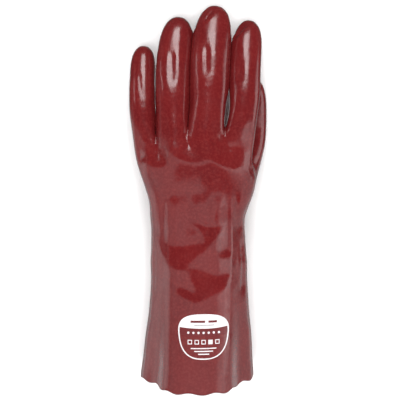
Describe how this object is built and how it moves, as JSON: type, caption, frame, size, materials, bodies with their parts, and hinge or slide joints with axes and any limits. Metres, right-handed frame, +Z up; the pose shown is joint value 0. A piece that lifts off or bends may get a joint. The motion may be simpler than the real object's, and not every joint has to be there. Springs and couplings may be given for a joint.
{
  "type": "pvc coated gauntlet work glove",
  "caption": "Left-hand dipped PVC gauntlet glove, empty, back up: long flared cuff with a scalloped hem and a printed panel, hollow into the fingers and thumb.",
  "frame": {"origin": "on the floor, under the middle of the glove's box", "axes": "+Y from the hem to the fingertips, +X to the thumb's side, +Z up, out of the back of the hand"},
  "size_m": [0.1272, 0.3484, 0.086],
  "materials": {
    "pvc": "glossy dark red dipped PVC, softly uneven",
    "ink": "satin white print with red fields"
  },
  "bodies": {
    "root": {"glove_shell": "pvc", "print_panel": "ink"}
  },
  "joints": []
}
